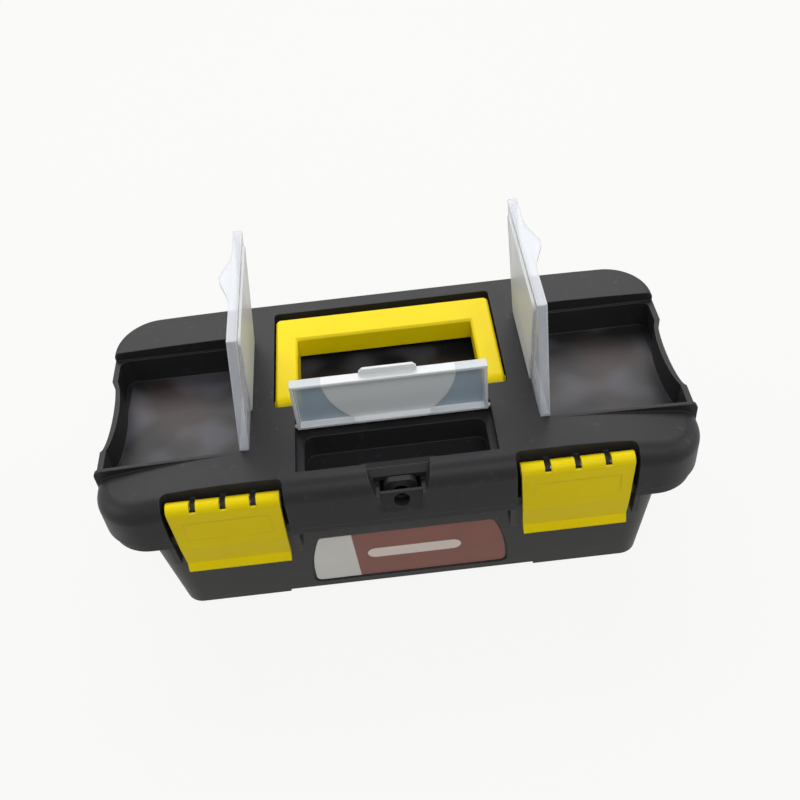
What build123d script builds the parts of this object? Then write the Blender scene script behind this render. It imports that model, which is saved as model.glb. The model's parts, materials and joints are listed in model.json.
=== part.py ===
"""Small moulded tool box with three lidded compartments in its top.

Millimetres, +Z up. X runs along the box, -Y is the front, and the origin lies on the ground under
the middle of the box. The three clear covers stand open, everything else is shut.
"""
import os
from math import atan2, cos, degrees, sin

from build123d import *

os.makedirs("parts", exist_ok=True)

# Whole box
LENGTH = 262.0
DEPTH = 124.0
HEIGHT = 95.0
WALL = 2.4
CORNER = 21.0
RUN_GAP = 0.3
PIN_GAP = 0.05
OVERCUT = 1.0

# Lid shell
LID_RISE = 24.7
FRONT_SHOULDER = 8.0
REAR_SHOULDER = 3.0
CROWN_RUN = 66.0
FRONT_DROP = 6.2
REAR_DROP = 1.5
SKIN = 2.2

# End compartments
CELL_LENGTH = 68.5
FRONT_STRIP = 26.4
REAR_STRIP = 23.0
FRONT_RIDGE = 1.6
BACK_LEDGE = 1.2
HINGE_LEDGE = 5.3
END_WALL = 2.6
CELL_ROUND = 4.0
SCOOP_SPAN = 45.0
SCOOP_DEPTH = 3.2
SCOOP_TALL = 9.2
NUB = 0.8
NUB_LENGTH = 8.0

# Clear covers
COVER_SHEET = 1.4
COVER_RIM = 4.0
COVER_TOP_DROP = 1.7
COVER_SIDE_GAP = 0.6
COVER_END_GAP = 0.2
BARREL = 2.0
HINGE_ROOM = 0.9
BARREL_PIN = 0.9
PIN_HOLD = 1.6
PULL_SPAN = 38.0
PULL_REACH = 4.6
PULL_THICK = 1.2
PULL_SET = 3.0
PANEL_RAISE = 1.0
PANEL_MARGIN = 4.0
PANEL_HINGE_MARGIN = 4.4
PANEL_SLANT = 18.0
PANEL_ROUND = 2.5
LEFT_OPEN = 96.2
RIGHT_OPEN = 92.4

# Centre compartment and its cover
POCKET_SIDE = 8.8
POCKET_INSET = 10.7
POCKET_REACH = 30.6
POCKET_DEPTH = 12.0
POCKET_LEDGE = 3.2
CENTRE_BARREL = 1.6
CENTRE_RIM = 4.6
CENTRE_TOP_DROP = 0.4
CENTRE_SIDE_GAP = 1.2
CENTRE_OPEN = 88.0
TAB_WIDTH = 24.4
TAB_REACH = 3.0
TAB_CUT = 1.6
RELIEF_RADIUS = 28.5
RELIEF_CENTRE = 2.0
RELIEF_RAISE = 0.6

# Carry handle and its recess
HANDLE_SIDE = 10.7
HANDLE_LEG = 10.3
HANDLE_BAR = 16.0
HANDLE_THICK = 12.0
HANDLE_INSET = 13.3
HANDLE_REACH = 53.7
HANDLE_ROUND = 2.4
HANDLE_EDGE = 1.0
HANDLE_GAP = 0.8
TRUNNION = 2.4
RECESS_DEPTH = 18.0
RECESS_BACK_ROOM = 4.2
RECESS_ROUND = 2.0

# Latches
LATCH_WIDTH = 48.0
LATCH_NARROW = 1.2
LATCH_END_INSET = 56.4
LATCH_PIVOT_SET = 4.2
LATCH_PIVOT_DROP = 8.0
LATCH_ROLL = 3.6
LATCH_SHEET = 2.2
LATCH_TALL = 42.4
LATCH_KNEE = 23.0
LATCH_LEAN = 1.8
LATCH_LIP = 4.3
LATCH_PANEL_WIDTH = 37.0
LATCH_PANEL_TALL = 11.4
LATCH_PANEL_DROP = 11.4
LATCH_PANEL_SINK = 0.5
LATCH_SIDE_GAP = 1.8
LATCH_POCKET_ROUND = 3.0
LATCH_PIN = 1.25
RIB_THICK = 2.0
RIB_ROUND = 2.2
RIB_GAP = 0.4
RIB_PITCH = 12.7
SLOT_FOOT = 0.6
NOSE_WIDTH = 30.0
NOSE_HOLD = 1.8
NOSE_TALL = 3.0

# Base tub
FLOOR = 2.4
BODY_INSET = 9.8
BODY_END_SET = 2.0
BODY_TAPER = 8.0
BODY_CORNER = 9.0
BODY_EDGE = 0.8
FLANGE_INSET = 1.6
FLANGE_TALL = 5.3
SEAM_GAP = 0.2
LIP_RISE = 2.2
LIP_THICK = 2.0
LIP_GAP = 0.6
CATCH_INSET = 3.7
FOOT_SPACE = 119.0
FOOT_RISE = 2.6
GUSSET_THICK = 2.6
GUSSET_TALL = 14.0
GUSSET_SET = 2.0

# Padlock eye and tongue
EYE_WIDTH = 17.8
EYE_TALL = 10.5
EYE_FOOT = 5.7
EYE_HOLE = 3.5
EYE_HOLE_RISE = 6.0
EYE_PROUD = 1.2
NOTCH_WIDTH = 27.0
NOTCH_NARROW = 3.0
TONGUE_WIDTH = 14.0
TONGUE_THICK = 2.6
TONGUE_CROWN = 3.5
HOLLOW_BACK = 13.8

# Rear hinge
HINGE_OUT = 4.2
HINGE_RADIUS = 3.5
HINGE_DROP = 2.5
HINGE_PIN = 1.5
HINGE_END_INSET = 59.0
LID_KNUCKLE = 16.0
LID_WEB = 8.2
BASE_KNUCKLE = 12.0
KNUCKLE_GAP = 0.4

# Front label
LABEL_TOP_WIDTH = 80.0
LABEL_FOOT_WIDTH = 90.5
LABEL_TALL = 38.0
LABEL_RISE = 26.8
LABEL_BULGE = 2.0
LABEL_ROUND = 2.6
LABEL_SHEET = 0.3
LABEL_SINK = 0.8
LABEL_MARGIN = 1.2

# Levels and places that follow from the sizes above
SEAM = HEIGHT - LID_RISE
HALF_LENGTH = LENGTH / 2
HALF_DEPTH = DEPTH / 2
MIDDLE = (EYE_PROUD - HINGE_OUT - HINGE_RADIUS) / 2
CROWN_START = HALF_LENGTH - CROWN_RUN
FLANGE_TOP = SEAM - SEAM_GAP
FLANGE_UNDER = FLANGE_TOP - FLANGE_TALL
LIP_OUT = WALL + LIP_GAP
LIP_IN = LIP_OUT + LIP_THICK
STEP_Z = FLANGE_UNDER + WALL
COVER_TOP = HEIGHT - COVER_TOP_DROP
LEDGE_Z = COVER_TOP - COVER_RIM - RUN_GAP
AXIS_Z = COVER_TOP - BARREL
CELL_EDGE = HALF_LENGTH - CELL_LENGTH
CELL_FRONT = -HALF_DEPTH + FRONT_STRIP
CELL_BACK = HALF_DEPTH - REAR_STRIP
CELL_MIDDLE = (CELL_FRONT + CELL_BACK) / 2
CELL_FLOOR = FLANGE_TOP + LIP_RISE + RUN_GAP + WALL
RIDGE_FRONT = CELL_FRONT - FRONT_RIDGE
SCOOP_FOOT = LEDGE_Z - SCOOP_TALL
END_AXIS_X = CELL_EDGE + BARREL + HINGE_ROOM
COVER_END = HALF_LENGTH - COVER_END_GAP
HANDLE_WIDTH = 2 * (CELL_EDGE - HANDLE_SIDE)
POCKET_WIDTH = HANDLE_WIDTH - 2 * POCKET_SIDE
POCKET_FRONT = -HALF_DEPTH + POCKET_INSET
POCKET_BACK = POCKET_FRONT + POCKET_REACH
POCKET_LEDGE_Z = HEIGHT - CENTRE_TOP_DROP - CENTRE_RIM - RUN_GAP
POCKET_FLOOR = POCKET_LEDGE_Z - POCKET_DEPTH
POCKET_LEDGE_BACK = POCKET_BACK - 2 * CENTRE_BARREL - POCKET_LEDGE
CENTRE_AXIS_Y = POCKET_BACK - CENTRE_BARREL - 2 * RUN_GAP
CENTRE_AXIS_Z = HEIGHT - CENTRE_TOP_DROP - CENTRE_BARREL
LATCH_X = HALF_LENGTH - LATCH_END_INSET
PIVOT_Y = -HALF_DEPTH + LATCH_PIVOT_SET
PIVOT_Z = HEIGHT - LATCH_PIVOT_DROP
LATCH_POCKET = LATCH_WIDTH + 2 * LATCH_SIDE_GAP
LATCH_POCKET_BACK = PIVOT_Y + LATCH_ROLL + 2 * RUN_GAP
CATCH_Y = -HALF_DEPTH + CATCH_INSET
HINGE_X = HALF_LENGTH - HINGE_END_INSET
HINGE_Y = HALF_DEPTH + HINGE_OUT
HINGE_Z = SEAM - HINGE_DROP
EYE_Z = SEAM + EYE_FOOT + EYE_HOLE_RISE
TONGUE_FRONT = -HALF_DEPTH + LIP_IN
TONGUE_TOP = EYE_Z + EYE_HOLE + TONGUE_CROWN
NOTCH_BACK = -HALF_DEPTH + FRONT_SHOULDER
NOTCH_FOOT = SEAM + EYE_FOOT + EYE_TALL
HOLLOW_Y = -HALF_DEPTH + HOLLOW_BACK
HOUSING = NOTCH_WIDTH + 2 * WALL
HANDLE_BACK = HALF_DEPTH - HANDLE_INSET
HANDLE_PIVOT = HANDLE_BACK - HANDLE_REACH
HANDLE_Z = HEIGHT - HANDLE_THICK / 2
RECESS_WIDTH = HANDLE_WIDTH + 2 * HANDLE_GAP
RECESS_FRONT = HANDLE_PIVOT - HANDLE_THICK / 2 - HANDLE_GAP
RECESS_BACK = HANDLE_BACK + RECESS_BACK_ROOM
RECESS_FLOOR = HEIGHT - RECESS_DEPTH


def level(z):
    """Horizontal plane at height z, centred on the lid."""
    return Plane((0, MIDDLE, z))


def across(y):
    """Upright plane along the box at y, with x and z as its own axes, looking at the front."""
    return Plane(origin=(0, MIDDLE + y, 0), x_dir=(1, 0, 0), z_dir=(0, -1, 0))


def along(x):
    """Upright plane across the box at x, with y and z as its own axes."""
    return Plane(origin=(x, MIDDLE, 0), x_dir=(0, 1, 0), z_dir=(1, 0, 0))


def span(low, high):
    """Middle and length of a stretch between two places."""
    return (low + high) / 2, high - low


def block(x_low, x_high, y_low, y_high, z_low, z_high, mode=Mode.ADD, corner=0.0):
    """Upright block between the given places, with round upright corners where asked."""
    x_mid, x_size = span(x_low, x_high)
    y_mid, y_size = span(y_low, y_high)
    with BuildSketch(level(z_low)) as plan:
        with Locations((x_mid, y_mid)):
            if corner > 0:
                RectangleRounded(x_size, y_size, corner)
            else:
                Rectangle(x_size, y_size)
    extrude(plan.sketch, amount=z_high - z_low, mode=mode)


def lid_form(end_drop, shoulder, inset):
    """Block of the lid's plan with its top bent down towards both ends, its shoulders rounded if asked."""
    top = HEIGHT - inset
    reach = HALF_LENGTH + OVERCUT
    above = top + OVERCUT
    with BuildPart() as form:
        with BuildSketch(level(SEAM)):
            RectangleRounded(LENGTH - 2 * inset, DEPTH - 2 * inset, CORNER - inset)
        extrude(amount=top - SEAM)
        with BuildSketch(across(DEPTH)):
            with BuildLine():
                bend = TangentArc((CROWN_START, top), (reach, top - end_drop), tangent=(1, 0))
                Polyline(bend @ 1, (reach, above), (CROWN_START, above), bend @ 0)
            make_face()
            mirror(about=Plane.YZ)
        extrude(amount=2 * DEPTH, mode=Mode.SUBTRACT)
        if shoulder > 0:
            rim = form.edges().filter_by(lambda edge: edge.bounding_box().min.Z > SEAM + OVERCUT)
            crease = rim.filter_by(lambda edge: abs(abs(edge.center().X) - CROWN_START) < PIN_GAP)
            fillet(rim - crease, radius=shoulder)
    return form.part


def lid_block(front_shoulder, rear_shoulder, inset):
    """The lid's form: a front strip that droops at the ends, and the higher rear with its crisp edge."""
    with BuildPart() as front:
        add(lid_form(FRONT_DROP, front_shoulder, inset))
        split(bisect_by=across(RIDGE_FRONT), keep=Keep.TOP)
    with BuildPart() as whole:
        add(lid_form(REAR_DROP, rear_shoulder, inset))
        split(bisect_by=across(RIDGE_FRONT), keep=Keep.BOTTOM)
        add(front.part)
    return whole.part


lid_outside = lid_block(FRONT_SHOULDER, REAR_SHOULDER, 0)

# Walls that hang inside the lid, cut to its outer form
with BuildPart() as lining:
    for side in (-1, 1):
        cell_low, cell_high = sorted((side * (CELL_EDGE - WALL), side * HALF_LENGTH))
        block(cell_low, cell_high, RIDGE_FRONT, CELL_BACK + WALL, CELL_FLOOR - WALL, HEIGHT)
        boss_low, boss_high = side * END_AXIS_X - 2 * BARREL, side * END_AXIS_X + 2 * BARREL
        block(boss_low, boss_high, RIDGE_FRONT - 2 * BARREL, RIDGE_FRONT, LEDGE_Z - SKIN, HEIGHT)
        latch_half = LATCH_POCKET / 2 + WALL
        latch_low, latch_high = side * LATCH_X - latch_half, side * LATCH_X + latch_half
        block(latch_low, latch_high, -HALF_DEPTH, LATCH_POCKET_BACK + SKIN, SEAM, HEIGHT)
    pocket_half = POCKET_WIDTH / 2 + WALL
    block(-pocket_half, pocket_half, POCKET_FRONT - WALL, POCKET_BACK + WALL, POCKET_FLOOR - WALL, HEIGHT)
    recess_half = RECESS_WIDTH / 2 + WALL
    block(-recess_half, recess_half, RECESS_FRONT - WALL, RECESS_BACK + WALL, RECESS_FLOOR - WALL, HEIGHT)
    block(-HOUSING / 2, HOUSING / 2, -HALF_DEPTH, HOLLOW_Y + SKIN, SEAM + EYE_FOOT - WALL, HEIGHT)
    add(lid_outside, mode=Mode.INTERSECT)

with BuildPart() as lid:
    add(lid_outside)
    add(lid_block(FRONT_SHOULDER - WALL, 0, WALL), mode=Mode.SUBTRACT)
    add(lining.part)

    for side in (-1, 1):
        # End compartment: a step for the cover, the compartment, and a scoop with a nub in the end
        step_low, step_high = sorted((side * CELL_EDGE, side * (HALF_LENGTH + OVERCUT)))
        block(step_low, step_high, CELL_FRONT, CELL_BACK, LEDGE_Z, HEIGHT + OVERCUT, Mode.SUBTRACT)
        cell_low, cell_high = sorted((side * (CELL_EDGE + HINGE_LEDGE), side * (HALF_LENGTH - END_WALL)))
        cell_mid, cell_size = span(cell_low, cell_high)
        hold_mid, hold_size = span(CELL_FRONT, CELL_BACK - BACK_LEDGE)
        with BuildSketch(level(CELL_FLOOR)):
            with Locations((cell_mid, hold_mid)):
                RectangleRounded(cell_size, hold_size, CELL_ROUND)
            with Locations((side * HALF_LENGTH, CELL_MIDDLE)):
                Ellipse(SCOOP_DEPTH + WALL, SCOOP_SPAN / 2 + WALL, mode=Mode.SUBTRACT)
        extrude(amount=HEIGHT - CELL_FLOOR, mode=Mode.SUBTRACT)
        with BuildSketch(level(SCOOP_FOOT)):
            with Locations((side * HALF_LENGTH, CELL_MIDDLE)):
                Ellipse(SCOOP_DEPTH, SCOOP_SPAN / 2)
        extrude(amount=HEIGHT - SCOOP_FOOT, mode=Mode.SUBTRACT)
        with BuildSketch(across(CELL_MIDDLE + NUB_LENGTH / 2)):
            with Locations((side * (HALF_LENGTH - SCOOP_DEPTH), (SCOOP_FOOT + LEDGE_Z) / 2)):
                Circle(NUB)
        extrude(amount=NUB_LENGTH)

        # Latch pocket, open to the front and below
        latch_low, latch_high = side * LATCH_X - LATCH_POCKET / 2, side * LATCH_X + LATCH_POCKET / 2
        block(latch_low, latch_high, -HALF_DEPTH - 2 * LATCH_POCKET_ROUND, LATCH_POCKET_BACK,
              SEAM - OVERCUT, HEIGHT + OVERCUT, Mode.SUBTRACT, LATCH_POCKET_ROUND)

    # Centre compartment with its step, cut round the housing of the padlock tongue
    block(-POCKET_WIDTH / 2, POCKET_WIDTH / 2, POCKET_FRONT, POCKET_BACK, POCKET_LEDGE_Z,
          HEIGHT + OVERCUT, Mode.SUBTRACT)
    pocket_mid, pocket_size = span(POCKET_FRONT, POCKET_LEDGE_BACK)
    housing_mid, housing_size = span(-HALF_DEPTH, HOLLOW_Y + SKIN)
    with BuildSketch(level(POCKET_FLOOR)):
        with Locations((0, pocket_mid)):
            RectangleRounded(POCKET_WIDTH - 2 * POCKET_LEDGE, pocket_size, CELL_ROUND)
        with Locations((0, housing_mid)):
            Rectangle(HOUSING, housing_size, mode=Mode.SUBTRACT)
    extrude(amount=POCKET_DEPTH, mode=Mode.SUBTRACT)

    # Handle recess
    block(-RECESS_WIDTH / 2, RECESS_WIDTH / 2, RECESS_FRONT, RECESS_BACK, RECESS_FLOOR, HEIGHT + OVERCUT,
          Mode.SUBTRACT, RECESS_ROUND)

    # Notch above the padlock eye, its slope up to the compartment, and room for the shackle behind
    with BuildSketch(across(NOTCH_BACK)):
        with BuildLine():
            Polyline(
                (-NOTCH_WIDTH / 2, HEIGHT + OVERCUT),
                (-NOTCH_WIDTH / 2 + NOTCH_NARROW, NOTCH_FOOT - OVERCUT),
                (NOTCH_WIDTH / 2 - NOTCH_NARROW, NOTCH_FOOT - OVERCUT),
                (NOTCH_WIDTH / 2, HEIGHT + OVERCUT),
                close=True,
            )
        make_face()
    extrude(amount=FRONT_SHOULDER + OVERCUT, mode=Mode.SUBTRACT)
    tab_under = HEIGHT - CENTRE_TOP_DROP - COVER_SHEET - 2 * RUN_GAP
    with BuildSketch(along(-NOTCH_WIDTH / 2)):
        with BuildLine():
            Polyline(
                (POCKET_FRONT + RUN_GAP, HEIGHT + OVERCUT),
                (POCKET_FRONT + RUN_GAP, tab_under),
                (NOTCH_BACK - RUN_GAP, LEDGE_Z),
                (NOTCH_BACK - RUN_GAP, HEIGHT + OVERCUT),
                close=True,
            )
        make_face()
    extrude(amount=NOTCH_WIDTH, mode=Mode.SUBTRACT)
    block(-EYE_WIDTH / 2, EYE_WIDTH / 2, -HALF_DEPTH - OVERCUT, NOTCH_BACK, SEAM + EYE_FOOT, NOTCH_FOOT,
          Mode.SUBTRACT)
    block(-EYE_WIDTH / 2, EYE_WIDTH / 2, -HALF_DEPTH + WALL, HOLLOW_Y, SEAM + EYE_FOOT,
          LEDGE_Z - SKIN, Mode.SUBTRACT)
    slot_half = TONGUE_WIDTH / 2 + 2 * RUN_GAP
    block(-slot_half, slot_half, -HALF_DEPTH + WALL, TONGUE_FRONT + TONGUE_THICK + OVERCUT,
          SEAM, SEAM + EYE_FOOT + OVERCUT, Mode.SUBTRACT)

    # Ribs that carry each latch pin
    for side in (-1, 1):
        for step in (-1, 0, 1):
            rib_mid, rib_size = span(PIVOT_Y, LATCH_POCKET_BACK + SKIN / 2)
            with BuildSketch(along(side * LATCH_X + step * RIB_PITCH - RIB_THICK / 2)):
                with Locations((PIVOT_Y, PIVOT_Z)):
                    Circle(RIB_ROUND)
                with Locations((rib_mid, PIVOT_Z)):
                    Rectangle(rib_size, 2 * RIB_ROUND)
                with Locations((PIVOT_Y, PIVOT_Z)):
                    Circle(LATCH_PIN + PIN_GAP, mode=Mode.SUBTRACT)
            extrude(amount=RIB_THICK)

    # Bearings of the handle and of the covers
    bearing_half = RECESS_WIDTH / 2 + WALL + OVERCUT
    with BuildSketch(along(-bearing_half)):
        with Locations((HANDLE_PIVOT, HANDLE_Z)):
            Circle(TRUNNION + PIN_GAP)
    extrude(amount=2 * bearing_half, mode=Mode.SUBTRACT)
    bearing_depth = PIN_HOLD + RUN_GAP
    with BuildSketch(along(-POCKET_WIDTH / 2 - bearing_depth)):
        with Locations((CENTRE_AXIS_Y, CENTRE_AXIS_Z)):
            Circle(BARREL_PIN + PIN_GAP)
    extrude(amount=POCKET_WIDTH + 2 * bearing_depth, mode=Mode.SUBTRACT)
    with BuildSketch(across(CELL_BACK + bearing_depth)):
        with Locations((-END_AXIS_X, AXIS_Z), (END_AXIS_X, AXIS_Z)):
            Circle(BARREL_PIN + PIN_GAP)
    extrude(amount=CELL_BACK - CELL_FRONT + 2 * bearing_depth, mode=Mode.SUBTRACT)

    # Rear hinge knuckles
    for side in (-1, 1):
        with BuildSketch(along(side * HINGE_X - LID_KNUCKLE / 2)):
            with Locations((HINGE_Y, HINGE_Z)):
                Circle(HINGE_RADIUS)
            with Locations((HALF_DEPTH - RUN_GAP, SEAM + LID_WEB / 2)):
                Rectangle(RUN_GAP, LID_WEB)
            make_hull()
            with Locations((HINGE_Y, HINGE_Z)):
                Circle(HINGE_PIN + PIN_GAP, mode=Mode.SUBTRACT)
        extrude(amount=LID_KNUCKLE)

lid.part.label = "lid_shell"
export_step(lid.part, "parts/lid_shell.step")


def wall_inset(z):
    """How far the base's wall lies inside the lid's outline at height z."""
    return BODY_INSET + BODY_TAPER * (1 - z / FLANGE_UNDER)


wall_slope = atan2(BODY_TAPER, FLANGE_UNDER)


def tub_form(inset, z_low, z_high):
    """The base's drafted body between two heights, drawn in by inset."""
    reach = wall_inset(z_low) + inset
    length = LENGTH - 2 * (reach + BODY_END_SET)
    radius = BODY_CORNER + BODY_TAPER * z_low / FLANGE_UNDER - inset
    with BuildPart() as form:
        with BuildSketch(level(z_low)):
            RectangleRounded(length, DEPTH - 2 * reach, radius)
        extrude(amount=z_high - z_low, taper=-degrees(wall_slope))
    return form.part


def label_outline(grow):
    """The label's outline on the front wall: wider at the foot, with bowed sides."""
    foot = LABEL_FOOT_WIDTH / 2 + grow
    head = LABEL_TOP_WIDTH / 2 + grow
    half = LABEL_TALL / 2 + grow
    middle = (foot + head) / 2 + LABEL_BULGE
    with BuildSketch(front_wall) as outline:
        with BuildLine():
            Line((-foot, -half), (foot, -half))
            ThreePointArc((foot, -half), (middle, 0), (head, half))
            Line((head, half), (-head, half))
            ThreePointArc((-head, half), (-middle, 0), (-foot, -half))
        make_face()
        fillet(outline.vertices(), radius=LABEL_ROUND + grow)
    return outline.sketch


front_wall = Plane(
    origin=(0, MIDDLE - HALF_DEPTH + wall_inset(LABEL_RISE), LABEL_RISE),
    x_dir=(1, 0, 0),
    z_dir=(0, -cos(wall_slope), -sin(wall_slope)),
)

with BuildPart() as base:
    add(tub_form(0, 0, FLANGE_UNDER))
    chamfer(base.faces().sort_by(Axis.Z)[0].edges(), length=BODY_EDGE)
    with BuildSketch(level(FLANGE_UNDER)):
        RectangleRounded(LENGTH - 2 * FLANGE_INSET, DEPTH - 2 * FLANGE_INSET, CORNER - FLANGE_INSET)
    extrude(amount=FLANGE_TALL)
    with BuildSketch(level(FLANGE_TOP)):
        RectangleRounded(LENGTH - 2 * LIP_OUT, DEPTH - 2 * LIP_OUT, CORNER - LIP_OUT)
    extrude(amount=LIP_RISE)

    # Hollow inside, with a step under the lip
    add(tub_form(WALL, FLOOR, STEP_Z), mode=Mode.SUBTRACT)
    with BuildSketch(level(STEP_Z)):
        RectangleRounded(LENGTH - 2 * LIP_IN, DEPTH - 2 * LIP_IN, CORNER - LIP_IN)
    extrude(amount=FLANGE_TALL + LIP_RISE, mode=Mode.SUBTRACT)

    # Latch places: the rim is set back to a catch, and gussets stand on both sides
    for side in (-1, 1):
        seat_half = LATCH_POCKET / 2 + WALL
        latch_mid = side * LATCH_X
        block(latch_mid - seat_half, latch_mid + seat_half, -HALF_DEPTH + LIP_OUT,
              -HALF_DEPTH + wall_inset(FLANGE_UNDER) + WALL, FLANGE_UNDER, FLANGE_TOP)
        block(latch_mid - seat_half, latch_mid + seat_half, -HALF_DEPTH - OVERCUT,
              -HALF_DEPTH + LIP_IN + OVERCUT, FLANGE_TOP, SEAM + LIP_RISE + OVERCUT, Mode.SUBTRACT)
        seat_half = LATCH_POCKET / 2
        block(latch_mid - seat_half, latch_mid + seat_half, -HALF_DEPTH - OVERCUT, CATCH_Y,
              FLANGE_UNDER - OVERCUT, FLANGE_TOP + OVERCUT, Mode.SUBTRACT)
        for edge in (-1, 1):
            gusset_x = latch_mid + edge * (seat_half + GUSSET_THICK / 2)
            gusset_foot = FLANGE_UNDER - GUSSET_TALL
            gusset_front = -HALF_DEPTH + FLANGE_INSET
            with BuildSketch(along(gusset_x - GUSSET_THICK / 2)):
                with BuildLine():
                    Polyline(
                        (gusset_front, FLANGE_UNDER),
                        (gusset_front + GUSSET_SET, gusset_foot),
                        (-HALF_DEPTH + wall_inset(gusset_foot) + OVERCUT, gusset_foot),
                        (-HALF_DEPTH + wall_inset(FLANGE_UNDER) + OVERCUT, FLANGE_UNDER),
                        close=True,
                    )
                make_face()
            extrude(amount=GUSSET_THICK)

    # Feet at both ends with the floor raised between them, and the sunk place for the label
    arch_half = FOOT_SPACE / 2
    floor_reach = HALF_DEPTH - wall_inset(FOOT_RISE) - WALL / 2
    block(-arch_half - WALL, arch_half + WALL, -floor_reach, floor_reach, FLOOR / 2, FOOT_RISE + FLOOR)
    block(-arch_half, arch_half, -HALF_DEPTH, HALF_DEPTH, -OVERCUT, FOOT_RISE, Mode.SUBTRACT)
    extrude(label_outline(LABEL_MARGIN), amount=-LABEL_SINK, mode=Mode.SUBTRACT)

    # Rear hinge knuckles
    for side in (-1, 1):
        for edge in (-1, 1):
            knuckle_x = side * HINGE_X + edge * (LID_KNUCKLE / 2 + KNUCKLE_GAP + BASE_KNUCKLE / 2)
            with BuildSketch(along(knuckle_x - BASE_KNUCKLE / 2)):
                with Locations((HINGE_Y, HINGE_Z)):
                    Circle(HINGE_RADIUS)
                web_low, web_high = FLANGE_UNDER, HINGE_Z + FLANGE_INSET
                with Locations((HALF_DEPTH - FLANGE_INSET - RUN_GAP, (web_low + web_high) / 2)):
                    Rectangle(RUN_GAP, web_high - web_low)
                make_hull()
                with Locations((HINGE_Y, HINGE_Z)):
                    Circle(HINGE_PIN + PIN_GAP, mode=Mode.SUBTRACT)
            extrude(amount=BASE_KNUCKLE)

base.part.label = "base_tub"
export_step(base.part, "parts/base_tub.step")

with BuildPart() as label:
    extrude(label_outline(0), amount=LABEL_SHEET)
label_part = label.part.moved(Location(front_wall.z_dir * -LABEL_SINK))
label_part.label = "front_label"
export_step(label_part, "parts/front_label.step")

# Padlock eye in the lid's front, and the tongue behind it that belongs to the base
with BuildPart() as eye:
    eye_foot, eye_head = SEAM + EYE_FOOT, SEAM + EYE_FOOT + EYE_TALL
    with BuildSketch(along(-EYE_WIDTH / 2)):
        with BuildLine():
            Polyline(
                (-HALF_DEPTH + WALL, eye_foot),
                (-HALF_DEPTH - EYE_PROUD, eye_foot),
                (-HALF_DEPTH + EYE_PROUD, eye_head),
                (-HALF_DEPTH + WALL, eye_head),
                close=True,
            )
        make_face()
    extrude(amount=EYE_WIDTH)
    with BuildSketch(across(0)):
        with Locations((0, EYE_Z)):
            Circle(EYE_HOLE)
    extrude(amount=DEPTH, mode=Mode.SUBTRACT)
eye.part.label = "padlock_eye"
export_step(eye.part, "parts/padlock_eye.step")

with BuildPart() as tongue:
    with BuildSketch(across(TONGUE_FRONT + TONGUE_THICK)):
        tongue_mid, tongue_size = span(STEP_Z, TONGUE_TOP)
        with Locations((0, tongue_mid)):
            Rectangle(TONGUE_WIDTH, tongue_size)
        with Locations((0, EYE_Z)):
            Circle(EYE_HOLE, mode=Mode.SUBTRACT)
    extrude(amount=TONGUE_THICK)
    fillet(tongue.edges().filter_by(Axis.Y).group_by(Axis.Z)[-1], radius=TONGUE_CROWN)
tongue.part.label = "padlock_tongue"
export_step(tongue.part, "parts/padlock_tongue.step")

# Carry handle
with BuildPart() as handle:
    handle_front = HANDLE_PIVOT - HANDLE_THICK / 2
    with BuildSketch(level(HEIGHT - HANDLE_THICK)) as plan:
        handle_mid, handle_size = span(handle_front, HANDLE_BACK)
        with Locations((0, handle_mid)):
            Rectangle(HANDLE_WIDTH, handle_size)
        fillet(plan.vertices().group_by(Axis.Y)[-1], radius=HANDLE_ROUND)
        gap_mid, gap_size = span(handle_front, HANDLE_BACK - HANDLE_BAR)
        with Locations((0, gap_mid)):
            Rectangle(HANDLE_WIDTH - 2 * HANDLE_LEG, gap_size, mode=Mode.SUBTRACT)
    extrude(amount=HANDLE_THICK)
    with BuildSketch(along(-HANDLE_WIDTH)):
        with Locations((HANDLE_PIVOT, HANDLE_Z)):
            Circle(HANDLE_THICK / 2)
        body_mid, body_size = span(HANDLE_PIVOT, HANDLE_BACK)
        with Locations((body_mid, HANDLE_Z)):
            Rectangle(body_size, HANDLE_THICK)
    extrude(amount=2 * HANDLE_WIDTH, mode=Mode.INTERSECT)
    chamfer(handle.edges().group_by(Axis.Z)[-1] + handle.edges().group_by(Axis.Z)[0], length=HANDLE_EDGE)
    for side in (-1, 1):
        with BuildSketch(along(side * HANDLE_WIDTH / 2)):
            with Locations((HANDLE_PIVOT, HANDLE_Z)):
                Circle(TRUNNION)
        extrude(amount=side * (HANDLE_GAP + WALL - RUN_GAP))
handle.part.label = "carry_handle"
export_step(handle.part, "parts/carry_handle.step")


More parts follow.
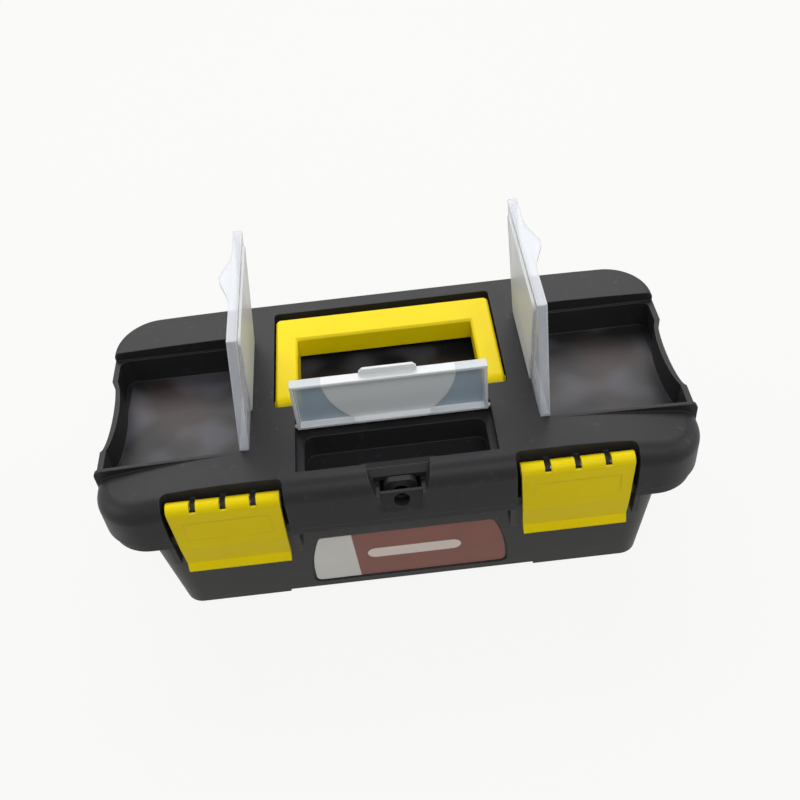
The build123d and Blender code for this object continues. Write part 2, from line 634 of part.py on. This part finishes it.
def latch(side):
    """Latch hanging shut: a slotted roll round its pin, a front with a knee, a finger lip and a hook."""
    front = PIVOT_Y - LATCH_ROLL
    head = PIVOT_Z + LATCH_ROLL
    foot = head - LATCH_TALL
    outside = [
        (front, PIVOT_Z),
        (front + LATCH_LEAN / 4, PIVOT_Z - LATCH_KNEE),
        (front + LATCH_LEAN, foot + LATCH_LIP),
        (front, foot),
    ]
    inside = [(y + LATCH_SHEET, z) for y, z in reversed(outside)]
    middle = side * LATCH_X
    half = LATCH_WIDTH / 2
    with BuildPart() as body:
        with BuildSketch(along(middle - half)):
            with BuildLine():
                Polyline(*outside, *inside, close=True)
            make_face()
            with Locations((PIVOT_Y, PIVOT_Z)):
                Circle(LATCH_ROLL)
                Circle(LATCH_PIN + PIN_GAP, mode=Mode.SUBTRACT)
        extrude(amount=LATCH_WIDTH)
        with BuildSketch(across(0)):
            with BuildLine():
                Polyline(
                    (middle - half, head),
                    (middle + half, head),
                    (middle + half - LATCH_NARROW, foot),
                    (middle - half + LATCH_NARROW, foot),
                    close=True,
                )
            make_face()
        extrude(amount=DEPTH, mode=Mode.INTERSECT)
        slot_width = RIB_THICK + 2 * RIB_GAP
        slot_mid, slot_size = span(SLOT_FOOT, LATCH_ROLL + OVERCUT)
        for step in (-1, 0, 1):
            with BuildSketch(along(middle + step * RIB_PITCH - slot_width / 2)):
                with Locations((PIVOT_Y, PIVOT_Z)):
                    Circle(RIB_ROUND + RIB_GAP)
                with Locations((PIVOT_Y, PIVOT_Z + slot_mid)):
                    Rectangle(2 * LATCH_ROLL + OVERCUT, slot_size)
                with Locations((PIVOT_Y + LATCH_ROLL / 2, PIVOT_Z)):
                    Rectangle(LATCH_ROLL, 2 * LATCH_ROLL)
            extrude(amount=slot_width, mode=Mode.SUBTRACT)
        hook_top = FLANGE_UNDER - RUN_GAP
        hook_root = front + LATCH_LEAN / 2 + LATCH_SHEET / 2
        with BuildSketch(along(middle - NOSE_WIDTH / 2)):
            with BuildLine():
                Polyline(
                    (hook_root, hook_top),
                    (CATCH_Y + NOSE_HOLD, hook_top),
                    (CATCH_Y + NOSE_HOLD, hook_top - NOSE_TALL / 2),
                    (hook_root, hook_top - NOSE_TALL),
                    close=True,
                )
            make_face()
        extrude(amount=NOSE_WIDTH)
        with BuildSketch(across(front + LATCH_PANEL_SINK)):
            with Locations((middle, PIVOT_Z - LATCH_PANEL_DROP)):
                Rectangle(LATCH_PANEL_WIDTH, LATCH_PANEL_TALL)
        extrude(amount=LATCH_PANEL_SINK + OVERCUT, mode=Mode.SUBTRACT)
    return body.part


def cover_sheet(width, reach, barrel, rim, side_gap):
    """Cover lying shut, its hinge along X at y 0: barrel with pins, sheet, and a rim round the underside."""
    pin_half = width / 2 + side_gap + PIN_HOLD
    rim_mid, rim_size = span(-reach, -barrel / 2)
    with BuildPart() as body:
        with BuildSketch(Plane.XY.offset(barrel - COVER_SHEET)):
            with Locations((0, -reach / 2)):
                Rectangle(width, reach)
        extrude(amount=COVER_SHEET)
        with BuildSketch(Plane.XY.offset(barrel - rim)):
            with Locations((0, rim_mid)):
                Rectangle(width, rim_size)
                Rectangle(width - 2 * COVER_SHEET, rim_size - 2 * COVER_SHEET, mode=Mode.SUBTRACT)
        extrude(amount=rim)
        with BuildSketch(Plane.YZ.offset(-width / 2)):
            Circle(barrel)
        extrude(amount=width)
        with BuildSketch(Plane.YZ.offset(-pin_half)):
            Circle(BARREL_PIN)
        extrude(amount=2 * pin_half)
    return body.part


def end_cover(side, opening):
    """End cover with a raised panel, cut slanting in front, and a bowed pull lip on its free edge."""
    width = CELL_BACK - CELL_FRONT - 2 * COVER_SIDE_GAP
    reach = COVER_END - END_AXIS_X
    slant = PANEL_SLANT * side
    near, far = -PANEL_HINGE_MARGIN, -reach + PANEL_MARGIN
    rear, fore = side * (width / 2 - PANEL_MARGIN), -side * (width / 2 - PANEL_MARGIN)
    rim_foot = BARREL - COVER_RIM
    pull_mid = side * PULL_SET
    pull_low, pull_high = pull_mid - PULL_SPAN / 2, pull_mid + PULL_SPAN / 2
    with BuildPart() as body:
        add(cover_sheet(width, reach, BARREL, COVER_RIM, COVER_SIDE_GAP))
        with BuildSketch(Plane.XY.offset(BARREL)) as panel:
            with BuildLine():
                Polyline((rear, near), (rear, far), (fore, far), (fore + slant, near), close=True)
            make_face()
            fillet(panel.vertices(), radius=PANEL_ROUND)
        extrude(amount=PANEL_RAISE)
        with BuildSketch(Plane.XZ.offset(reach - PULL_THICK)):
            with BuildLine():
                bow = Spline(
                    (pull_low, rim_foot), (pull_mid, rim_foot - PULL_REACH), (pull_high, rim_foot),
                    tangents=((1, 0), (1, 0)),
                )
                Polyline(bow @ 1, (pull_high, 0), (pull_low, 0), bow @ 0)
            make_face()
        extrude(amount=PULL_THICK)
    turned = body.part.rotate(Axis.Z, 90 * side).rotate(Axis.Y, -opening * side)
    return turned.moved(Location((side * END_AXIS_X, MIDDLE + CELL_MIDDLE, AXIS_Z)))


for word, side, opening in (("left", -1, LEFT_OPEN), ("right", 1, RIGHT_OPEN)):
    cover = end_cover(side, opening)
    cover.label = "end_cover_" + word
    export_step(cover, "parts/end_cover_" + word + ".step")

    hasp = latch(side)
    hasp.label = "latch_" + word
    export_step(hasp, "parts/latch_" + word + ".step")

    with BuildPart() as latch_pin:
        with BuildSketch(along(side * LATCH_X - LATCH_WIDTH / 2)):
            with Locations((PIVOT_Y, PIVOT_Z)):
                Circle(LATCH_PIN)
        extrude(amount=LATCH_WIDTH)
    latch_pin.part.label = "latch_pin_" + word
    export_step(latch_pin.part, "parts/latch_pin_" + word + ".step")

    with BuildPart() as hinge_pin:
        pin_length = LID_KNUCKLE + 2 * (KNUCKLE_GAP + BASE_KNUCKLE)
        with BuildSketch(along(side * HINGE_X - pin_length / 2)):
            with Locations((HINGE_Y, HINGE_Z)):
                Circle(HINGE_PIN)
        extrude(amount=pin_length)
    hinge_pin.part.label = "hinge_pin_" + word
    export_step(hinge_pin.part, "parts/hinge_pin_" + word + ".step")

# Centre cover with its finger tab and a round relief underneath
with BuildPart() as centre:
    centre_width = POCKET_WIDTH - 2 * CENTRE_SIDE_GAP
    centre_reach = CENTRE_AXIS_Y - POCKET_FRONT - CENTRE_SIDE_GAP
    add(cover_sheet(centre_width, centre_reach, CENTRE_BARREL, CENTRE_RIM, CENTRE_SIDE_GAP))
    relief_mid, relief_size = span(-centre_reach, -CENTRE_BARREL / 2)
    with BuildSketch(Plane.XY.offset(CENTRE_BARREL - COVER_SHEET - RELIEF_RAISE)):
        with Locations((0, RELIEF_CENTRE - centre_reach)):
            Circle(RELIEF_RADIUS)
        with Locations((0, relief_mid)):
            Rectangle(centre_width - COVER_SHEET, relief_size - COVER_SHEET, mode=Mode.INTERSECT)
    extrude(amount=RELIEF_RAISE)
    with BuildSketch(Plane.XY.offset(CENTRE_BARREL - COVER_SHEET)) as tab:
        with Locations((0, -centre_reach)):
            Rectangle(TAB_WIDTH, 2 * TAB_REACH)
        chamfer(tab.vertices().group_by(Axis.Y)[0], length=TAB_CUT)
    extrude(amount=COVER_SHEET)
opened = centre.part.rotate(Axis.X, -CENTRE_OPEN)
centre_part = opened.moved(Location((0, MIDDLE + CENTRE_AXIS_Y, CENTRE_AXIS_Z)))
centre_part.label = "center_cover"
export_step(centre_part, "parts/center_cover.step")
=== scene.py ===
"""Looks of the moulded tool box: finishes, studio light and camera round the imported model.

Lengths are in metres, and a grain's scale is in blotches to the metre.
"""
import json
import math

import bpy
from mathutils import Matrix, Vector


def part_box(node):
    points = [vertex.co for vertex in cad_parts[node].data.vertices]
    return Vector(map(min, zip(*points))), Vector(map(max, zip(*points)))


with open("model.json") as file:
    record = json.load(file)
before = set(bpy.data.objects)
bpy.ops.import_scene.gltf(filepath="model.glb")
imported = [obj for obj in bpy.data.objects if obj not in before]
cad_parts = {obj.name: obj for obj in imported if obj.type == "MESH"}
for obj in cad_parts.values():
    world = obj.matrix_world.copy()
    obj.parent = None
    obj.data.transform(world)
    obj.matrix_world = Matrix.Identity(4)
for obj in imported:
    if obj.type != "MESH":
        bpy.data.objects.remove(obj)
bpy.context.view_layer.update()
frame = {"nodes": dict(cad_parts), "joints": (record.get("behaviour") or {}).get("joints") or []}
pieces = frame["nodes"]
joints = {joint["name"]: joint for joint in frame["joints"]}

# Sockets of a Mix node that blends colours.
MIX_FACTOR, MIX_FIRST, MIX_SECOND, MIX_RESULT = 0, 6, 7, 2

# Cosines between the rounded and the flat normal at which the mask of an edge begins and is full.
EDGE_BEGINS, EDGE_FULL = 0.995, 0.90
EDGE_SAMPLES = 4

# Half the width of a mask's soft border.
MASK_BLUR = 0.0002

STUDIO_WHITE = (1.0, 1.0, 0.985, 1.0)


class Field:
    """A value that changes over a surface. Arithmetic on it adds Math nodes to its finish."""

    def __init__(self, finish, socket):
        self.finish = finish
        self.socket = socket

    def math(self, operation, *values):
        node = self.finish.node("ShaderNodeMath", {"operation": operation}, dict(enumerate(values)))
        return node["Value"]

    def __add__(self, other):
        return self.math("ADD", self, other)

    __radd__ = __add__

    def __sub__(self, other):
        return self.math("SUBTRACT", self, other)

    def __rsub__(self, other):
        return self.math("SUBTRACT", other, self)

    def __mul__(self, other):
        return self.math("MULTIPLY", self, other)

    __rmul__ = __mul__

    def __abs__(self):
        return self.math("ABSOLUTE", self)

    def larger(self, other):
        return self.math("MAXIMUM", self, other)

    def smaller(self, other):
        return self.math("MINIMUM", self, other)

    def root(self):
        return self.math("SQRT", self)

    def fade(self, start, end):
        """0 at start and before it, 1 at end and past it, smooth between. Start may be the larger."""
        node = self.finish.node(
            "ShaderNodeMapRange",
            {"interpolation_type": "SMOOTHSTEP"},
            {"Value": self, "From Min": start, "From Max": end},
        )
        return node["Result"]


class Node:
    """A shader node whose outputs are read by name or number."""

    def __init__(self, finish, node):
        self.finish = finish
        self.node = node

    def __getitem__(self, output):
        return Field(self.finish, self.node.outputs[output])


class Finish:
    """The node tree of a material or of the world."""

    def __init__(self, owner):
        self.owner = owner
        owner.use_nodes = True
        self.tree = owner.node_tree
        self.tree.nodes.clear()

    def node(self, kind, settings=None, inputs=None):
        """A new node: its settings are made first, then its sockets are linked or set."""
        made = self.tree.nodes.new(kind)
        for key, value in (settings or {}).items():
            setattr(made, key, value)
        for key, value in (inputs or {}).items():
            if isinstance(value, Field):
                self.tree.links.new(value.socket, made.inputs[key])
            else:
                made.inputs[key].default_value = value
        return Node(self, made)

    def spot(self):
        """The surface point in the object's own frame."""
        return self.node("ShaderNodeTexCoord")["Object"]

    def split(self, spot):
        """The point's x, y and z."""
        parts = self.node("ShaderNodeSeparateXYZ", inputs={"Vector": spot})
        return parts["X"], parts["Y"], parts["Z"]

    def grain(self, spot, scale, detail=3.0, rough=0.55):
        """Noise from 0 to 1."""
        inputs = {"Vector": spot, "Scale": scale, "Detail": detail, "Roughness": rough}
        return self.node("ShaderNodeTexNoise", inputs=inputs)["Fac"]

    def streaks(self, spot, scales):
        """Noise drawn out along the axes whose scale is small."""
        drawn = self.node("ShaderNodeMapping", inputs={"Vector": spot, "Scale": scales})["Vector"]
        return self.grain(drawn, scale=1.0)

    def mix(self, factor, first, second):
        """Colour between first, at factor 0, and second, at factor 1."""
        inputs = {MIX_FACTOR: factor, MIX_FIRST: first, MIX_SECOND: second}
        return self.node("ShaderNodeMix", {"data_type": "RGBA"}, inputs)[MIX_RESULT]

    def edges(self, radius):
        """Normal that rounds sharp edges off, and a mask of those edges, with which the finishes paint a
        highlight.
        """
        rounded = self.node("ShaderNodeBevel", {"samples": EDGE_SAMPLES}, {"Radius": radius})["Normal"]
        flat = self.node("ShaderNodeNewGeometry")["Normal"]
        both = {0: rounded, 1: flat}
        agree = self.node("ShaderNodeVectorMath", {"operation": "DOT_PRODUCT"}, both)["Value"]
        return rounded, agree.fade(EDGE_BEGINS, EDGE_FULL)

    def bump(self, height, distance, under):
        """Normal with the height's relief laid over the one under it."""
        inputs = {"Height": height, "Distance": distance, "Normal": under}
        return self.node("ShaderNodeBump", inputs=inputs)["Normal"]

    def principled(self, inputs):
        return self.node("ShaderNodeBsdfPrincipled", inputs=inputs)["BSDF"]

    def show(self, shader, output="ShaderNodeOutputMaterial"):
        """Puts the shader on the tree's output and gives the finished material or world."""
        self.node(output, inputs={"Surface": shader})
        return self.owner


def new_finish(name):
    return Finish(bpy.data.materials.new(name))


def rgb(red, green, blue):
    """Linear colour of an 8-bit screen colour, by the sRGB curve."""
    def linear(value):
        value /= 255
        return value / 12.92 if value <= 0.04045 else ((value + 0.055) / 1.055) ** 2.4

    return (linear(red), linear(green), linear(blue), 1.0)


def compartment_floors(x, y, z):
    """1 on the smooth floors of the compartments and of the handle's recess, 0 elsewhere."""
    # The same mask makes these floors smoother and places painted brown and pale reflections on them.
    cell_floor, recess_floor, band = 0.0750, 0.0770, 0.0001
    front, back, end = -0.0385, 0.0355, 0.1262
    level = band - abs(z - cell_floor).smaller(abs(z - recess_floor))
    inside = level.smaller(y - front).smaller(back - y).smaller(end - abs(x))
    return inside.fade(0.0, band / 2)


def black_moulding(name, dark, pale):
    """Black polypropylene: fine eroded grain, flow lines along the box, random pale scuffs, a painted
    highlight along the edges and painted blurred reflections on the compartment floors.
    """
    # The pale colour serves real scuffs and the painted edge highlight; the warm and cool colours are
    # painted reflections.
    wear_and_edge_highlight, painted_warm_reflection, painted_cool_reflection = rgb(96, 96, 99), rgb(108, 88, 82), rgb(128, 130, 142)
    relief = 0.00006
    finish = new_finish(name)
    spot = finish.spot()
    fine = finish.grain(spot, scale=1500.0, detail=2.0)
    cloud = finish.grain(spot, scale=26.0, detail=4.0)
    flow = finish.streaks(spot, scales=(9.0, 150.0, 150.0))
    scuff = finish.grain(spot, scale=160.0, detail=5.0, rough=0.7).fade(0.58, 0.72)
    warm_reflection_blots = finish.grain(spot, scale=36.0, detail=0.0).fade(0.40, 0.75)
    cool_reflection_blots = finish.grain(spot, scale=52.0, detail=0.0).fade(0.45, 0.80)
    floor_reflection_and_gloss = compartment_floors(*finish.split(spot))
    soft_edge, painted_edge_highlight = finish.edges(radius=0.0006)
    colour = finish.mix(0.5 * cloud + 0.5 * flow, dark, pale)
    # Painted reflections: blurred warm and cool blots on the compartment floors.
    colour = finish.mix(0.22 * floor_reflection_and_gloss * warm_reflection_blots, colour, painted_warm_reflection)
    colour = finish.mix(0.26 * floor_reflection_and_gloss * cool_reflection_blots, colour, painted_cool_reflection)
    # Pale scuffs are wear; the pale band along every edge is a painted highlight.
    colour = finish.mix(0.15 * scuff + 0.40 * painted_edge_highlight, colour, wear_and_edge_highlight)
    shader = finish.principled({
        "Base Color": colour,
        "Roughness": 0.30 + 0.10 * cloud + 0.12 * flow + 0.08 * fine - 0.08 * floor_reflection_and_gloss,
        "Specular IOR Level": 0.18,
        "Normal": finish.bump(fine + 0.4 * cloud + 0.5 * flow, relief, soft_edge),
    })
    return finish.show(shader)


def yellow_moulding():
    """Bright yellow plastic, smooth with a faint flow pattern."""
    deep, bright = rgb(240, 210, 0), rgb(249, 226, 8)
    dirty, wear_and_edge_highlight = rgb(206, 172, 8), rgb(252, 238, 84)
    relief = 0.00004
    finish = new_finish("yellow_moulding")
    spot = finish.spot()
    fine = finish.grain(spot, scale=1300.0, detail=2.0)
    flow = finish.grain(spot, scale=34.0)
    scuff = finish.grain(spot, scale=210.0, detail=5.0, rough=0.7).fade(0.60, 0.74)
    soft_edge, painted_edge_highlight = finish.edges(radius=0.0007)
    colour = finish.mix(flow, deep, bright)
    colour = finish.mix(0.12 * scuff, colour, dirty)
    # Painted highlight: the edges are painted paler.
    colour = finish.mix(0.35 * painted_edge_highlight, colour, wear_and_edge_highlight)
    shader = finish.principled({
        "Base Color": colour,
        "Roughness": 0.32 + 0.12 * flow + 0.10 * scuff,
        "Specular IOR Level": 0.12,
        "Normal": finish.bump(fine + 0.6 * flow, relief, soft_edge),
    })
    return finish.show(shader)


def frosted_clear(name, field, rim, milky, clear, body):
    """See-through polypropylene, milky inside a raised field, white along its rim, with a painted
    highlight along its edges.

    body is how far each face of the clear part hides what lies behind it, from 0 to 1.
    """
    haze, white = rgb(188, 196, 206), rgb(242, 244, 246)
    field_blur, line_half, line_blur = 0.0003, 0.0007, 0.0005
    relief = 0.00004
    finish = new_finish(name)
    spot = finish.spot()
    place = finish.split(spot)
    cloud = finish.grain(spot, scale=42.0, detail=4.0)
    fine = finish.grain(spot, scale=900.0, detail=2.0)
    soft_edge, painted_edge_highlight = finish.edges(radius=0.0009)
    depth = field(*place)
    milk = depth.fade(-field_blur, field_blur)
    outline = (line_half - abs(depth)).fade(0.0, line_blur)
    # The pale mask joins the field's outline, the rim and the painted highlight along the edges.
    pale = (0.5 * outline).larger(0.75 * rim(*place)).larger(painted_edge_highlight)
    colour = finish.mix(milk, clear, milky)
    colour = finish.mix(0.25 * cloud, colour, haze)
    colour = finish.mix(pale, colour, white)
    shader = finish.principled({
        "Base Color": colour,
        "Roughness": 0.18 + 0.12 * cloud + 0.15 * milk,
        "Alpha": (body + 0.24 * milk + 0.10 * cloud).larger(0.97 * pale),
        "Specular IOR Level": 0.4,
        "Normal": finish.bump(fine + cloud, relief, soft_edge),
    })
    return finish.show(shader)


def end_masks(side, word):
    """Depth inside an end cover's raised panel, whose front edge slants, and a mask of its far rim."""
    joint = joints["cover_" + word + "_close"]
    low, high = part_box("end_cover_" + word)
    upright = 90.0
    lean = math.radians(joint["range_deg"][1] - upright)
    hinge_x, hinge_z = joint["pos_m"][0], joint["pos_m"][2]
    middle = (low[1] + high[1]) / 2
    hinge_margin, margin, pin, slant, wall = 0.0044, 0.0040, 0.0022, 0.018, 0.0014
    rim_share = 0.35
    half = (high[1] - low[1]) / 2 - pin
    reach = (high[2] - hinge_z) / math.cos(lean)
    slope = slant / (reach - margin - hinge_margin)

    def from_hinge(x, z):
        return (z - hinge_z) * math.cos(lean) - (x - hinge_x) * (side * math.sin(lean))

    def field(x, y, z):
        out = from_hinge(x, z)
        to_end = reach - margin - out
        back = y - middle
        sides = (out - hinge_margin).smaller(to_end).smaller(half - margin - back)
        return sides.smaller(back + (half - margin) - to_end * slope)

    def rim(x, _, z):
        past_wall = from_hinge(x, z) - (reach - wall)
        return rim_share * past_wall.fade(-MASK_BLUR, MASK_BLUR)

    return field, rim


def centre_masks():
    """Depth inside the centre cover's round field, and a mask of the cover's rim."""
    low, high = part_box("center_cover")
    tab, wall, pin, foot = 0.0030, 0.0014, 0.0028, 0.0042
    radius, below_edge = 0.0285, 0.0020
    edge = high[2] - tab
    half = high[0] - pin

    def field(x, _, z):
        drop = z - (edge - below_edge)
        return radius - (x * x + drop * drop).root()

    def rim(x, _, z):
        sides = (abs(x) - (half - wall)).larger(z - (edge - wall)).larger(low[2] + foot - z)
        return sides.fade(-MASK_BLUR, MASK_BLUR)

    return field, rim


def drawn_steel():
    """Bright wire for the pins."""
    dull, bright = rgb(150, 150, 152), rgb(190, 190, 192)
    finish = new_finish("drawn_steel")
    draw = finish.streaks(finish.spot(), scales=(40.0, 2400.0, 2400.0))
    shader = finish.principled({
        "Base Color": finish.mix(draw, dull, bright),
        "Metallic": 1.0,
        "Roughness": 0.28 + 0.15 * draw,
    })
    return finish.show(shader)


def printed_label():
    """Plain film in two tones with a pale bar, bearing no words."""
    low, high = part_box("front_label")
    width, tall = high[0] - low[0], high[2] - low[2]
    split_x, split_slant = low[0] + 0.235 * width, 0.03
    bar_x, bar_z = low[0] + 0.53 * width, low[2] + 0.52 * tall
    bar_half, bar_round = 0.197 * width, 0.0040
    bar_colour, wear_and_edge_highlight = rgb(252, 236, 226), rgb(235, 230, 222)
    relief = 0.00005
    finish = new_finish("printed_label")
    spot = finish.spot()
    x, _, z = finish.split(spot)
    fine = finish.grain(spot, scale=700.0)
    blot = finish.grain(spot, scale=60.0)
    soft_edge, painted_edge_highlight = finish.edges(radius=0.0002)
    brown = finish.mix(blot, rgb(132, 74, 60), rgb(152, 92, 76))
    grey = finish.mix(blot, rgb(236, 233, 224), rgb(248, 245, 238))
    past_split = x - split_x + split_slant * (z - low[2])
    colour = finish.mix(past_split.fade(-MASK_BLUR, MASK_BLUR), grey, brown)
    along = (abs(x - bar_x) - bar_half).larger(0.0)
    up = z - bar_z
    from_bar = (along * along + up * up).root()
    colour = finish.mix(from_bar.fade(bar_round + MASK_BLUR, bar_round - MASK_BLUR), colour, bar_colour)
    shader = finish.principled({
        # Painted highlight: the label's edges are painted paler.
        "Base Color": finish.mix(0.3 * painted_edge_highlight, colour, wear_and_edge_highlight),
        "Roughness": 0.32 + 0.10 * fine,
        "Specular IOR Level": 0.25,
        "Normal": finish.bump(blot, relief, soft_edge),
    })
    return finish.show(shader)


def dress(names, material):
    for name in names:
        slots = pieces[name].data.materials
        slots.clear()
        slots.append(material)


def dress_all():
    # Painted shade: the lid's black is darker and the base's paler, two shades of one black, so the lid's
    # front lies darker than the base's.
    dress(["lid_shell", "padlock_eye"], black_moulding("lid_black_painted_darker", rgb(28, 28, 30), rgb(44, 44, 46)))
    dress(["base_tub", "padlock_tongue"], black_moulding("base_black_painted_paler", rgb(34, 33, 33), rgb(50, 49, 48)))
    dress(["carry_handle", "latch_left", "latch_right"], yellow_moulding())
    end_look = {"milky": rgb(236, 238, 238), "clear": rgb(222, 226, 235), "body": 0.48}
    for side, word in ((-1, "left"), (1, "right")):
        frosted = frosted_clear("frosted_" + word, *end_masks(side, word), **end_look)
        dress(["end_cover_" + word], frosted)
    centre_look = {"milky": rgb(232, 236, 237), "clear": rgb(176, 195, 208), "body": 0.60}
    dress(["center_cover"], frosted_clear("frosted_centre", *centre_masks(), **centre_look))
    dress(["hinge_pin_left", "hinge_pin_right", "latch_pin_left", "latch_pin_right"], drawn_steel())
    dress(["front_label"], printed_label())


def place_in_scene(name, data):
    holder = bpy.data.objects.new(name, data)
    bpy.context.scene.collection.objects.link(holder)
    return holder


def seen_white(finish, share):
    """Factor for a backdrop's own white: share for camera, mirror and see-through rays, 0 for others."""
    path = finish.node("ShaderNodeLightPath")
    seen = path["Is Camera Ray"].larger(path["Is Glossy Ray"]).larger(path["Is Transmission Ray"])
    return seen * share


def floor_finish():
    """Pale matt floor that keeps the soft shadow and reads as near white."""
    dark, pale = (0.46, 0.46, 0.46, 1.0), (0.50, 0.50, 0.50, 1.0)
    finish = new_finish("pale_floor")
    cloud = finish.grain(finish.spot(), scale=3.0)
    ground = finish.principled({
        "Base Color": finish.mix(cloud, dark, pale),
        "Roughness": 1.0,
        "Specular IOR Level": 0.0,
    })
    glow = finish.node("ShaderNodeEmission", inputs={"Color": STUDIO_WHITE, "Strength": 1.0})
    blend = finish.node("ShaderNodeMixShader", inputs={
        0: seen_white(finish, 0.90), 1: ground, 2: glow["Emission"],
    })
    return finish.show(blend["Shader"])


def lay_floor():
    size = 6.0
    corners = [(-size, -size, 0), (size, -size, 0), (size, size, 0), (-size, size, 0)]
    floor_mesh = bpy.data.meshes.new("floor")
    floor_mesh.from_pydata(corners, [], [(0, 1, 2, 3)])
    floor_mesh.materials.append(floor_finish())
    floor = place_in_scene("floor", floor_mesh)


def softbox(name, place, width, depth, power):
    """Area lamp at place, facing the middle of the box."""
    box_middle = Vector((0, 0, 0.06))
    lamp = bpy.data.lights.new(name, "AREA")
    lamp.shape = "RECTANGLE"
    lamp.size = width
    lamp.size_y = depth
    lamp.energy = power
    holder = place_in_scene(name, lamp)
    holder.location = place
    holder.rotation_euler = (box_middle - Vector(place)).to_track_quat("-Z", "Y").to_euler()


def hang_lamps():
    softbox("overhead", place=(-0.05, 0.75, 1.0), width=1.5, depth=0.8, power=13.8)
    softbox("front_fill", place=(0.25, -0.85, 1.2), width=0.9, depth=0.7, power=7.5)
    for name, side in (("left_fill", -1), ("right_fill", 1)):
        softbox(name, place=(side * 1.2, -0.15, 0.65), width=0.9, depth=0.8, power=4.5)


def fill_air():
    """World that gives a little light from all round and is seen as white."""
    finish = Finish(bpy.data.worlds.new("studio"))
    air = finish.node("ShaderNodeBackground", inputs={"Color": (1.0, 1.0, 1.0, 1.0), "Strength": 0.10})
    white = finish.node("ShaderNodeBackground", inputs={"Color": STUDIO_WHITE, "Strength": 1.0})
    blend = finish.node("ShaderNodeMixShader", inputs={
        0: seen_white(finish, 1.0), 1: air["Background"], 2: white["Background"],
    })
    bpy.context.scene.world = finish.show(blend["Shader"], "ShaderNodeOutputWorld")


def set_camera():
    """Camera at the photograph's place: in front, 45 degrees up, its roll lifting the box's right end."""
    place = Vector((0.0039, -0.3323, 0.4082))
    tilt = math.radians(45.0)
    lean = math.radians(6.55)
    ahead = Vector((0, math.cos(tilt), -math.sin(tilt)))
    level_right = Vector((1, 0, 0))
    level_up = level_right.cross(ahead)
    right = level_right * math.cos(lean) - level_up * math.sin(lean)
    up = level_up * math.cos(lean) + level_right * math.sin(lean)
    camera = bpy.data.cameras.new("camera")
    camera.lens = 45.0
    camera.sensor_width = 36.0
    camera.clip_start = 0.02
    holder = place_in_scene("camera", camera)
    turn = Matrix((right, up, -ahead)).transposed().to_4x4()
    holder.matrix_world = Matrix.Translation(place) @ turn
    bpy.context.scene.camera = holder


dress_all()
lay_floor()
hang_lamps()
fill_air()
set_camera()
bpy.context.scene.view_settings.view_transform = "Standard"
